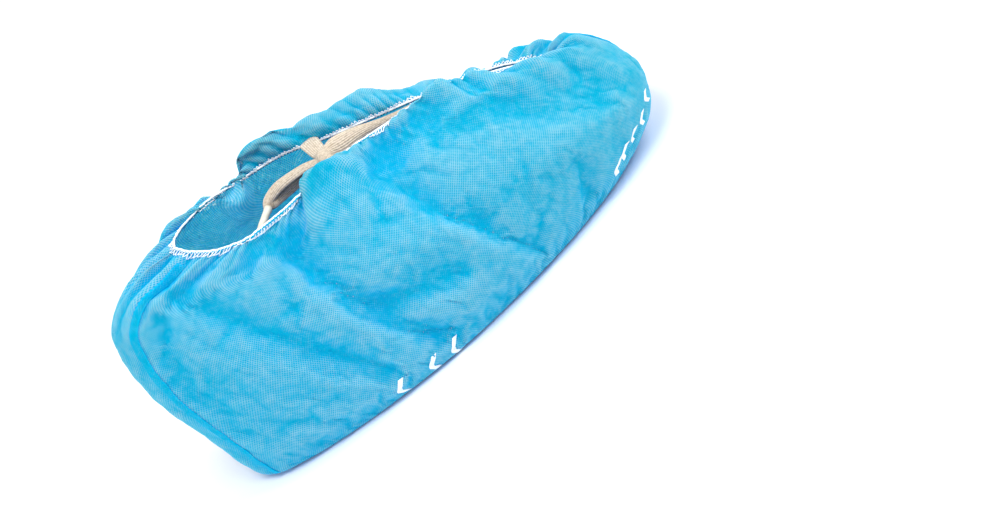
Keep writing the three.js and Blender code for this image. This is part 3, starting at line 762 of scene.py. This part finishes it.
tape_link(tape_bump.outputs["Normal"], tape_shader.inputs["Normal"])
tape_shader.inputs["Roughness"].default_value = 0.85


def tape_place(along, across, up):
    return np.array([(along - 0.5) * cover_length, across * cover_width / 2, up * opening_height])


def wall_at(on_near, along):
    columns_of = [j for j in range(cloth_columns) if (math.sin(angles[j]) > 0) == on_near]
    x = (along - 0.5) * cover_length
    nearest = min(columns_of, key=lambda j: abs(inner_grid[1, j, 0] - x))
    return inner_grid[1, nearest]


def smooth_path(stations, steps):
    stations = np.array(stations, float)
    padded = np.concatenate([2 * stations[:1] - stations[1:2], stations, 2 * stations[-1:] - stations[-2:-1]])
    rows = []
    for i in range(len(stations) - 1):
        a, b, c, d = padded[i:i + 4]
        for s in np.arange(steps) / steps:
            bend = (2 * a - 5 * b + 4 * c - d) * s**2 + (3 * b - a - 3 * c + d) * s**3
            rows.append(0.5 * (2 * b + (c - a) * s + bend))
    rows.append(stations[-1])
    return np.array(rows)


# The tape's cut end, walked round from edge to edge over the ribs of one face and back over the other
def tape_outline(thick, steps):
    outline = []
    for face in (1, -1):
        for step in range(steps + 1) if face == 1 else range(steps - 1, 0, -1):
            share = 2 * step / steps - 1
            rib = rib_depth * abs(math.cos(math.pi * rib_count * share / 2)) * 2
            half_thickness = tape_thickness * thick / 2 * (1 - share**8) ** 0.5 + rib * (1 - share**4)
            outline.append((share, face * half_thickness))
    return outline


# A strand's stations hold place, width and thickness as shares of the tape's, lean in degrees and curl
def add_strand(name, stations, replaced=None):
    rows = smooth_path([(*place, wide, thick, lean, curl) for place, wide, thick, lean, curl in stations], 14)
    path = rows[:, :3]
    run = np.gradient(path, axis=0)
    run /= np.linalg.norm(run, axis=1, keepdims=True)
    length = np.concatenate([[0], np.cumsum(np.linalg.norm(np.diff(path, axis=0), axis=1))])
    across_steps = rib_count * 6
    points, uvs = [], []
    for i, (wide, thick, lean, curl) in enumerate(rows[:, 3:]):
        across = np.cross((0, 0, 1), run[i])
        across /= np.linalg.norm(across)
        up = np.cross(run[i], across)
        a = math.radians(lean)
        across, up = math.cos(a) * across + math.sin(a) * up, math.cos(a) * up - math.sin(a) * across
        radius = tape_width * wide / 2 / curl
        for share, rise in tape_outline(thick, across_steps):
            bend = curl * share
            raised = radius * (math.cos(bend) - 1) + rise
            points.append(path[i] + across * radius * math.sin(bend) + up * raised)
            uvs.append((tape_width * (share + 1) / 2, length[i]))
    piece = add_mesh(name, points, ring_faces(len(rows), 2 * across_steps, False), cotton_tape, uvs)
    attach(piece, "root")
    if replaced:
        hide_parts(replaced)


knot_middle = tape_place(0.466, -0.04, 0.852)
to_far = wall_at(False, 0.474) + (0, -0.0009, 0)
to_near = wall_at(True, 0.463) + (0, 0.0009, 0)
add_strand("tape_far_end", [
    (knot_middle + (0, 0, 0.001), 0.4, 1.3, 0, 0.9),
    (knot_middle + (0, 0.005, 0.0022), 0.55, 1.0, 0, 0.5),
    (tape_place(0.47, 0.17, 0.85), 0.85, 1.0, 0, 0.3),
    (to_far + (0, 0, -0.002), 1.05, 0.9, 0, 0.1),
], "tape_far")
add_strand("tape_near_end", [
    (knot_middle + (0, 0, 0.001), 0.6, 1.3, 0, 0.9),
    (knot_middle + (0, -0.006, 0.001), 0.8, 1.0, 0, 0.5),
    (tape_place(0.463, -0.18, 0.858), 0.9, 1.0, 0, 0.3),
    (to_near, 1.0, 0.9, 0, 0.2),
], "tape_near")
front_end = wall_at(True, 0.655) + (0, 0.0028, -0.003)
add_strand("tape_front_tail_strand", [
    (knot_middle, 0.5, 1.3, -10, 1.0),
    (tape_place(0.483, 0.0, 0.858), 0.9, 1.1, 40, 0.7),
    (tape_place(0.505, 0.01, 0.847), 1.1, 1.1, 50, 0.6),
    (tape_place(0.54, 0.03, 0.828), 0.9, 1.2, 45, 0.9),
    (tape_place(0.575, 0.02, 0.802), 0.72, 1.5, 35, 1.4),
    (tape_place(0.61, 0.02, 0.774), 0.62, 1.7, 30, 1.9),
    (front_end, 0.55, 1.7, 25, 2.0),
], "tape_front_tail")
rear_foot = tape_place(0.34, 0.08, 0.828)
add_strand("tape_rear_tail_strand", [
    (knot_middle, 0.55, 1.3, 0, 0.8),
    (tape_place(0.436, 0.07, 0.862), 0.7, 1.0, -5, 0.9),
    (tape_place(0.412, 0.13, 0.864), 0.8, 1.0, -5, 1.0),
    (tape_place(0.38, 0.17, 0.862), 0.8, 1.0, -20, 1.0),
    (tape_place(0.352, 0.14, 0.848), 0.65, 1.2, -40, 1.2),
    (rear_foot, 0.42, 1.6, -50, 1.6),
], "tape_rear_tail")
add_strand("tape_rear_tail_fold", [
    (knot_middle + (0, 0.001, -0.003), 0.5, 1.1, -40, 0.3),
    (tape_place(0.432, 0.13, 0.826), 0.75, 1.0, -65, 0.3),
    (tape_place(0.408, 0.18, 0.822), 0.9, 1.0, -80, 0.3),
    (tape_place(0.378, 0.2, 0.82), 0.9, 1.0, -80, 0.3),
    (tape_place(0.356, 0.14, 0.822), 0.6, 1.1, -70, 0.6),
    (rear_foot + (0.0015, 0.0006, 0.001), 0.35, 1.3, -50, 1.0),
])

# The knot: two turns of the tape pulled tight over the crossing strands, each turned about the upright,
# with its reach across and up and its width as a share of the tape's
knot_turns = (
    dict(tilt=32, across=0.0036, up=0.003, wide=0.5),
    dict(tilt=-38, across=0.004, up=0.0027, wide=0.42),
)
turn_stations = 8
turn_thickness = 1.2
turn_crown = 0.0012
turn_uv_step = 0.0006
knot_points, knot_faces, knot_uvs = [], [], []
for turn in knot_turns:
    tilt = math.radians(turn["tilt"])
    across_way = np.array([math.sin(tilt), math.cos(tilt), 0])
    stations = []
    for step in range(turn_stations + 1):
        a = 2 * math.pi * step / turn_stations
        rise = np.array([0, 0, turn["up"] * math.sin(a)])
        stations.append(knot_middle + across_way * turn["across"] * math.cos(a) + rise)
    turn_path = smooth_path(stations, 8)[:-1]
    run = np.roll(turn_path, -1, 0) - np.roll(turn_path, 1, 0)
    run /= np.linalg.norm(run, axis=1, keepdims=True)
    out = turn_path - turn_path.mean(0)
    out -= run * (out * run).sum(1, keepdims=True)
    out /= np.linalg.norm(out, axis=1, keepdims=True)
    across = np.cross(run, out) * tape_width * turn["wide"] / 2
    outline = tape_outline(turn_thickness, rib_count * 4)
    start = len(knot_points)
    for i, place in enumerate(turn_path):
        for share, rise in outline:
            knot_points.append(place + across[i] * share + out[i] * (turn_crown * (1 - share * share) + rise))
            knot_uvs.append((tape_width * (share + 1) / 2, i * turn_uv_step))
    for face in ring_faces(len(turn_path), len(outline), True):
        knot_faces.append(tuple(start + corner for corner in face))
tape_knot = add_mesh("tape_knot_turns", knot_points, knot_faces, cotton_tape, knot_uvs)
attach(tape_knot, "root")
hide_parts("tape_knot")

# The tip: a pale plastic tube pressed over the end of the rear tail, with a thicker rim at its mouth. Its
# outline holds the distance from the tape's end and the radius as a share of the tube's.
tip_radius = 0.0024
tip_sides = 24
tip_sag = 0.0006
tip_end = tape_place(0.27, -0.26, 0.8)
tip_length = np.linalg.norm(tip_end - rear_foot)
tip_way = (tip_end - rear_foot) / tip_length
tip_side = np.cross(tip_way, (0, 0, 1))
tip_side /= np.linalg.norm(tip_side)
tip_up = np.cross(tip_side, tip_way)
tip_outline = (
    (-0.0015, 0.5), (-0.0015, 0.97), (-0.0006, 1.08), (0.001, 1.08), (0.0016, 1.0), (0.005, 0.97),
    (0.012, 0.98), (tip_length - 0.002, 0.97), (tip_length - 0.0004, 0.9), (tip_length, 0.6),
)
tip_points = []
for along, wide in tip_outline:
    sag = tip_sag * math.sin(math.pi * min(max(along / tip_length, 0), 1))
    middle = rear_foot + tip_way * along + tip_up * sag
    for s in range(tip_sides):
        a = 2 * math.pi * s / tip_sides
        tip_points.append(middle + tip_radius * wide * (math.cos(a) * tip_side - math.sin(a) * tip_up))
tip_plastic = speckled_material(
    "tape_tip", 260.0, 3.0, 0.45, (0.0, (0.6, 0.58, 0.46)), (1.0, (0.86, 0.84, 0.72))
)
tape_tip = add_mesh("tape_tip_tube", tip_points, ring_faces(len(tip_outline), tip_sides, False), tip_plastic)
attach(tape_tip, "root")
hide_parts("tape_tip")


# Grip marks. White chevrons of a rubbery coating printed under the sole, in rows along it, so that it
# doesn't slip. The outermost marks wrap up round the edge of the sole.
mark_width = 0.013
mark_pitch = 0.013
mark_stroke = 0.0042
mark_sweep = 0.0055
mark_bevel = 0.0003
mark_arm = (0.15, 0.4, 0.7, 1.0)
row_spacing = 0.017
sole_mark_rise = 0.00055
wrapped_mark_low = 0.0001
wrapped_mark_rise = 0.0003
wrapped_column_width = 0.0021
mark_rows = (
    dict(row=-2, start=-0.215, marks=13),
    dict(row=-1, start=-0.35, marks=19),
    dict(row=0, start=-0.4, marks=22),
    dict(row=1, start=-0.35, marks=19),
    dict(row=2, start=-0.215, marks=13),
)
mark_points, mark_faces = [], []


# A mark is a chevron with a bevelled top. The function placed says where each of its points goes.
def add_mark(placed):
    start = len(mark_points)
    outline = [(mark_sweep * a, -mark_width / 2 * a) for a in reversed(mark_arm)]
    outline += [(mark_sweep * a, mark_width / 2 * a) for a in mark_arm]
    count = len(outline)
    for high, inset in ((0, 0), (0.5, 0), (1, mark_bevel)):
        narrowed = 1 - inset / mark_width * 2
        for edge in (inset, mark_stroke - inset):
            for forward, across in outline:
                mark_points.append(placed(forward + edge, across * narrowed, high))

    def strip(layer, end, i):
        return [start + (layer * 2 + end) * count + i + more for more in (0, 1)]

    for i in range(count - 1):
        mark_faces.append((*strip(2, 0, i), *reversed(strip(2, 1, i))))
        mark_faces.append((*reversed(strip(0, 0, i)), *strip(0, 1, i)))
        for layer in (0, 1):
            mark_faces.append((*strip(layer, 0, i), *reversed(strip(layer + 1, 0, i))))
            mark_faces.append((*reversed(strip(layer, 1, i)), *strip(layer + 1, 1, i)))
    for i, turned in ((0, True), (count - 1, False)):
        for layer in (0, 1):
            corners = ((layer, 0), (layer, 1), (layer + 1, 1), (layer + 1, 0))
            face = tuple(strip(*corner, i)[0] for corner in corners)
            mark_faces.append(tuple(reversed(face)) if turned else face)


def on_sole(x, y):
    return lambda forward, across, high: (x + forward, y - across, sole_mark_rise * (1 - high))


def on_edge(column, row):
    def placed(forward, across, high):
        column_at = column + (forward - mark_sweep / 2) / wrapped_column_width
        return on_cloth(column_at, row - across / grid_step, wrapped_mark_low + wrapped_mark_rise * high)
    return placed


for row in mark_rows:
    for k in range(row["marks"]):
        add_mark(on_sole(row["start"] * cover_length + k * mark_pitch, row["row"] * row_spacing))

# The marks on the cloth that turns up round the edge, each given by its angle and level there
wrapped_marks = (
    (2.714, 5.64), (2.592, 6.01), (2.483, 6.16), (2.399, 6.32), (2.336, 6.47), (1.391, 7.08), (1.286, 6.98),
    (1.13, 6.9), (3.569, 5.64), (3.691, 6.01), (3.8, 6.16), (3.884, 6.32), (3.947, 6.47),
)
for angle, level in wrapped_marks:
    column = np.interp(angle, angles, range(cloth_columns))
    add_mark(on_edge(column, np.interp(level, levels, range(cloth_rows + 1))))

white_tread = speckled_material(
    "white_tread", 600.0, 4.0, 0.55, (0.35, (0.75, 0.9, 0.97)), (0.55, (0.95, 0.98, 1.0))
)
grip_marks = add_mesh("grip_marks", mark_points, mark_faces, white_tread)
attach(grip_marks, "root")
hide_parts("tread_row_1", "tread_row_2", "tread_row_3", "tread_row_4", "tread_row_5")


# Floor and light. A plain pale floor under a wide soft light from the toe's side, a second one from above
# the heel, and an even pale surround.
floor_size = 6.0
bpy.ops.mesh.primitive_plane_add(size=floor_size, location=(0, 0, 0))
floor = bpy.context.object
floor.name = "floor"
floor_pale, floor_shader = new_material("floor_pale")
floor_shader.inputs["Base Color"].default_value = (0.9, 0.9, 0.9, 1)
floor_shader.inputs["Roughness"].default_value = 0.8
floor.data.materials.append(floor_pale)

lights = (
    dict(name="key", size=1.3, energy=22, way=(0.85, -0.35, 0.95), distance=2.4),
    dict(name="fill", size=1.0, energy=26, way=(-0.25, -0.45, 1.1), distance=2.2),
)
for light in lights:
    light_data = bpy.data.lights.new(light["name"], "AREA")
    light_data.shape = "DISK"
    light_data.size = light["size"]
    light_data.energy = light["energy"]
    light_object = bpy.data.objects.new(light["name"], light_data)
    bpy.context.scene.collection.objects.link(light_object)
    light_way = Vector(light["way"]).normalized()
    light_object.location = light_way * light["distance"]
    light_object.rotation_euler = light_way.to_track_quat("Z", "Y").to_euler()
world = bpy.data.worlds.new("surround")
world.use_nodes = True
world.node_tree.nodes["Background"].inputs["Color"].default_value = (1, 1, 1, 1)
world.node_tree.nodes["Background"].inputs["Strength"].default_value = 0.82
bpy.context.scene.world = world
bpy.context.scene.view_settings.view_transform = "Standard"
